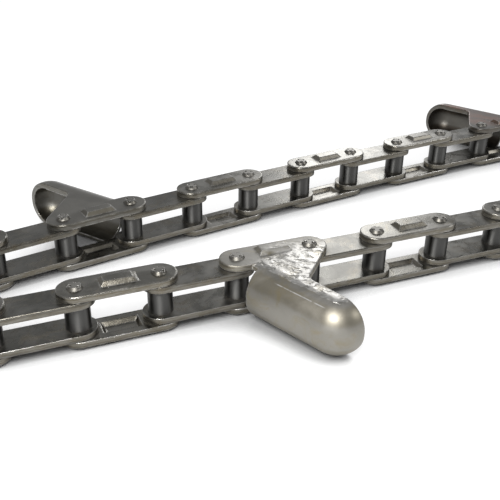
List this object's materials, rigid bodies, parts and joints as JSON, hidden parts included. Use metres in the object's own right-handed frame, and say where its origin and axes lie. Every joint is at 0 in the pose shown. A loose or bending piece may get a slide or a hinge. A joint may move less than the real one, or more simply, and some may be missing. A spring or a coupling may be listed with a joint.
{
  "type": "gathering chain",
  "caption": "Double-pitch steel roller chain doubled back on itself, with pressed gathering lugs on the upper plates of spaced outer links.",
  "frame": {"origin": "on the axis of the open pin holes at the free end of the straight run, at the mid-plane between the chain's plates", "axes": "+Z along the pins, towards the plates that carry the lugs; +X along the straight run, from the fold towards the free ends; the other run lies towards +Y"},
  "size_m": [0.4732, 0.2431, 0.0308],
  "materials": {
    "inner_link_steel": "dark oiled heat-treated steel, satin, bright worn edges",
    "outer_plate_steel": "oiled stamped steel, satin, bright worn edges",
    "pin_steel": "hardened steel with bright riveted ends",
    "roller_steel": "smooth blue-black hardened steel, oiled",
    "lug_steel": "satin grey pressed steel with straw and brown heat tints"
  },
  "bodies": {
    "link_01": {"outer_plates_01": "outer_plate_steel", "pins_01": "pin_steel"},
    "link_02": {"inner_link_01": "inner_link_steel"},
    "link_03": {"outer_plates_02": "outer_plate_steel", "pins_02": "pin_steel"},
    "link_04": {"inner_link_02": "inner_link_steel"},
    "link_05": {"outer_plates_03": "outer_plate_steel", "pins_03": "pin_steel", "lug_1": "lug_steel"},
    "link_06": {"inner_link_03": "inner_link_steel"},
    "link_07": {"outer_plates_04": "outer_plate_steel", "pins_04": "pin_steel"},
    "link_08": {"inner_link_04": "inner_link_steel"},
    "link_09": {"outer_plates_05": "outer_plate_steel", "pins_05": "pin_steel"},
    "link_10": {"inner_link_05": "inner_link_steel"},
    "link_11": {"outer_plates_06": "outer_plate_steel", "pins_06": "pin_steel"},
    "link_12": {"inner_link_06": "inner_link_steel"},
    "link_13": {"outer_plates_07": "outer_plate_steel", "pins_07": "pin_steel", "lug_2": "lug_steel"},
    "link_14": {"inner_link_07": "inner_link_steel"},
    "link_15": {"outer_plates_08": "outer_plate_steel", "pins_08": "pin_steel"},
    "link_16": {"inner_link_08": "inner_link_steel"},
    "link_17": {"outer_plates_09": "outer_plate_steel", "pins_09": "pin_steel"},
    "link_18": {"inner_link_09": "inner_link_steel"},
    "link_19": {"outer_plates_10": "outer_plate_steel", "pins_10": "pin_steel"},
    "link_20": {"inner_link_10": "inner_link_steel"},
    "link_21": {"outer_plates_11": "outer_plate_steel", "pins_11": "pin_steel", "lug_3": "lug_steel"},
    "link_22": {"inner_link_11": "inner_link_steel"},
    "roller_01": {"roller_01": "roller_steel"},
    "roller_02": {"roller_02": "roller_steel"},
    "roller_03": {"roller_03": "roller_steel"},
    "roller_04": {"roller_04": "roller_steel"},
    "roller_05": {"roller_05": "roller_steel"},
    "roller_06": {"roller_06": "roller_steel"},
    "roller_07": {"roller_07": "roller_steel"},
    "roller_08": {"roller_08": "roller_steel"},
    "roller_09": {"roller_09": "roller_steel"},
    "roller_10": {"roller_10": "roller_steel"},
    "roller_11": {"roller_11": "roller_steel"},
    "roller_12": {"roller_12": "roller_steel"},
    "roller_13": {"roller_13": "roller_steel"},
    "roller_14": {"roller_14": "roller_steel"},
    "roller_15": {"roller_15": "roller_steel"},
    "roller_16": {"roller_16": "roller_steel"},
    "roller_17": {"roller_17": "roller_steel"},
    "roller_18": {"roller_18": "roller_steel"},
    "roller_19": {"roller_19": "roller_steel"},
    "roller_20": {"roller_20": "roller_steel"},
    "roller_21": {"roller_21": "roller_steel"},
    "roller_22": {"roller_22": "roller_steel"}
  },
  "joints": [
    {"name": "pin_joint_01", "type": "hinge", "parent": "link_02", "child": "link_01", "pos_m": [-0.0381, 0, 0], "axis": [0, 0, -1], "range_deg": [-45, 45]},
    {"name": "pin_joint_02", "type": "hinge", "parent": "link_03", "child": "link_02", "pos_m": [-0.0762, 0, 0], "axis": [0, 0, -1], "range_deg": [-45, 45]},
    {"name": "pin_joint_03", "type": "hinge", "parent": "link_04", "child": "link_03", "pos_m": [-0.1143, 0, 0], "axis": [0, 0, 1], "range_deg": [-45, 45]},
    {"name": "pin_joint_04", "type": "hinge", "parent": "link_05", "child": "link_04", "pos_m": [-0.1524, 0, 0], "axis": [0, 0, 1], "range_deg": [-45, 35]},
    {"name": "pin_joint_05", "type": "hinge", "parent": "link_06", "child": "link_05", "pos_m": [-0.1905, 0, 0], "axis": [0, 0, -1], "range_deg": [-27, 45]},
    {"name": "pin_joint_06", "type": "hinge", "parent": "link_07", "child": "link_06", "pos_m": [-0.2286, 0, 0], "axis": [0, 0, -1], "range_deg": [-22, 45]},
    {"name": "pin_joint_07", "type": "hinge", "parent": "link_08", "child": "link_07", "pos_m": [-0.2667, 0, 0], "axis": [0, 0, 1], "range_deg": [-45, 19]},
    {"name": "pin_joint_08", "type": "hinge", "parent": "link_09", "child": "link_08", "pos_m": [-0.3048, 0, 0], "axis": [0, 0, 1], "range_deg": [-45, 16]},
    {"name": "pin_joint_09", "type": "hinge", "parent": "link_10", "child": "link_09", "pos_m": [-0.33875, 0.0173, 0], "axis": [0, 0, -1], "range_deg": [-14, 75]},
    {"name": "pin_joint_10", "type": "hinge", "parent": "link_10", "child": "link_11", "pos_m": [-0.33397, 0.0551, 0], "axis": [0, 0, -1], "range_deg": [-75, 14]},
    {"name": "pin_joint_11", "type": "hinge", "parent": "link_11", "child": "link_12", "pos_m": [-0.29679, 0.06341, 0], "axis": [0, 0, 1], "range_deg": [-16, 45]},
    {"name": "pin_joint_12", "type": "hinge", "parent": "link_12", "child": "link_13", "pos_m": [-0.25951, 0.07126, 0], "axis": [0, 0, 1], "range_deg": [-19, 45]},
    {"name": "pin_joint_13", "type": "hinge", "parent": "link_13", "child": "link_14", "pos_m": [-0.22213, 0.07866, 0], "axis": [0, 0, -1], "range_deg": [-45, 22]},
    {"name": "pin_joint_14", "type": "hinge", "parent": "link_14", "child": "link_15", "pos_m": [-0.18467, 0.08561, 0], "axis": [0, 0, -1], "range_deg": [-45, 26]},
    {"name": "pin_joint_15", "type": "hinge", "parent": "link_15", "child": "link_16", "pos_m": [-0.14713, 0.09209, 0], "axis": [0, 0, 1], "range_deg": [-32, 45]},
    {"name": "pin_joint_16", "type": "hinge", "parent": "link_16", "child": "link_17", "pos_m": [-0.10951, 0.09812, 0], "axis": [0, 0, 1], "range_deg": [-40, 45]},
    {"name": "pin_joint_17", "type": "hinge", "parent": "link_17", "child": "link_18", "pos_m": [-0.07182, 0.10368, 0], "axis": [0, 0, -1], "range_deg": [-45, 45]},
    {"name": "pin_joint_18", "type": "hinge", "parent": "link_18", "child": "link_19", "pos_m": [-0.03406, 0.10879, 0], "axis": [0, 0, -1], "range_deg": [-45, 45]},
    {"name": "pin_joint_19", "type": "hinge", "parent": "link_19", "child": "link_20", "pos_m": [0.00376, 0.11343, 0], "axis": [0, 0, 1], "range_deg": [-45, 45]},
    {"name": "pin_joint_20", "type": "hinge", "parent": "link_20", "child": "link_21", "pos_m": [0.04163, 0.11761, 0], "axis": [0, 0, 1], "range_deg": [-45, 45]},
    {"name": "pin_joint_21", "type": "hinge", "parent": "link_21", "child": "link_22", "pos_m": [0.07954, 0.12133, 0], "axis": [0, 0, -1], "range_deg": [-45, 45]},
    {"name": "roller_turn_01", "type": "hinge", "parent": "link_02", "child": "roller_01", "pos_m": [-0.0381, 0, 0], "axis": [0, 0, 1], "continuous": true},
    {"name": "roller_turn_02", "type": "hinge", "parent": "link_02", "child": "roller_02", "pos_m": [-0.0762, 0, 0], "axis": [0, 0, 1], "continuous": true},
    {"name": "roller_turn_03", "type": "hinge", "parent": "link_04", "child": "roller_03", "pos_m": [-0.1143, 0, 0], "axis": [0, 0, 1], "continuous": true},
    {"name": "roller_turn_04", "type": "hinge", "parent": "link_04", "child": "roller_04", "pos_m": [-0.1524, 0, 0], "axis": [0, 0, 1], "continuous": true},
    {"name": "roller_turn_05", "type": "hinge", "parent": "link_06", "child": "roller_05", "pos_m": [-0.1905, 0, 0], "axis": [0, 0, 1], "continuous": true},
    {"name": "roller_turn_06", "type": "hinge", "parent": "link_06", "child": "roller_06", "pos_m": [-0.2286, 0, 0], "axis": [0, 0, 1], "continuous": true},
    {"name": "roller_turn_07", "type": "hinge", "parent": "link_08", "child": "roller_07", "pos_m": [-0.2667, 0, 0], "axis": [0, 0, 1], "continuous": true},
    {"name": "roller_turn_08", "type": "hinge", "parent": "link_08", "child": "roller_08", "pos_m": [-0.3048, 0, 0], "axis": [0, 0, 1], "continuous": true},
    {"name": "roller_turn_09", "type": "hinge", "parent": "link_10", "child": "roller_09", "pos_m": [-0.33875, 0.0173, 0], "axis": [0, 0, 1], "continuous": true},
    {"name": "roller_turn_10", "type": "hinge", "parent": "link_10", "child": "roller_10", "pos_m": [-0.33397, 0.0551, 0], "axis": [0, 0, 1], "continuous": true},
    {"name": "roller_turn_11", "type": "hinge", "parent": "link_12", "child": "roller_11", "pos_m": [-0.29679, 0.06341, 0], "axis": [0, 0, 1], "continuous": true},
    {"name": "roller_turn_12", "type": "hinge", "parent": "link_12", "child": "roller_12", "pos_m": [-0.25951, 0.07126, 0], "axis": [0, 0, 1], "continuous": true},
    {"name": "roller_turn_13", "type": "hinge", "parent": "link_14", "child": "roller_13", "pos_m": [-0.22213, 0.07866, 0], "axis": [0, 0, 1], "continuous": true},
    {"name": "roller_turn_14", "type": "hinge", "parent": "link_14", "child": "roller_14", "pos_m": [-0.18467, 0.08561, 0], "axis": [0, 0, 1], "continuous": true},
    {"name": "roller_turn_15", "type": "hinge", "parent": "link_16", "child": "roller_15", "pos_m": [-0.14713, 0.09209, 0], "axis": [0, 0, 1], "continuous": true},
    {"name": "roller_turn_16", "type": "hinge", "parent": "link_16", "child": "roller_16", "pos_m": [-0.10951, 0.09812, 0], "axis": [0, 0, 1], "continuous": true},
    {"name": "roller_turn_17", "type": "hinge", "parent": "link_18", "child": "roller_17", "pos_m": [-0.07182, 0.10368, 0], "axis": [0, 0, 1], "continuous": true},
    {"name": "roller_turn_18", "type": "hinge", "parent": "link_18", "child": "roller_18", "pos_m": [-0.03406, 0.10879, 0], "axis": [0, 0, 1], "continuous": true},
    {"name": "roller_turn_19", "type": "hinge", "parent": "link_20", "child": "roller_19", "pos_m": [0.00376, 0.11343, 0], "axis": [0, 0, 1], "continuous": true},
    {"name": "roller_turn_20", "type": "hinge", "parent": "link_20", "child": "roller_20", "pos_m": [0.04163, 0.11761, 0], "axis": [0, 0, 1], "continuous": true},
    {"name": "roller_turn_21", "type": "hinge", "parent": "link_22", "child": "roller_21", "pos_m": [0.07954, 0.12133, 0], "axis": [0, 0, 1], "continuous": true},
    {"name": "roller_turn_22", "type": "hinge", "parent": "link_22", "child": "roller_22", "pos_m": [0.1175, 0.12459, 0], "axis": [0, 0, 1], "continuous": true}
  ]
}
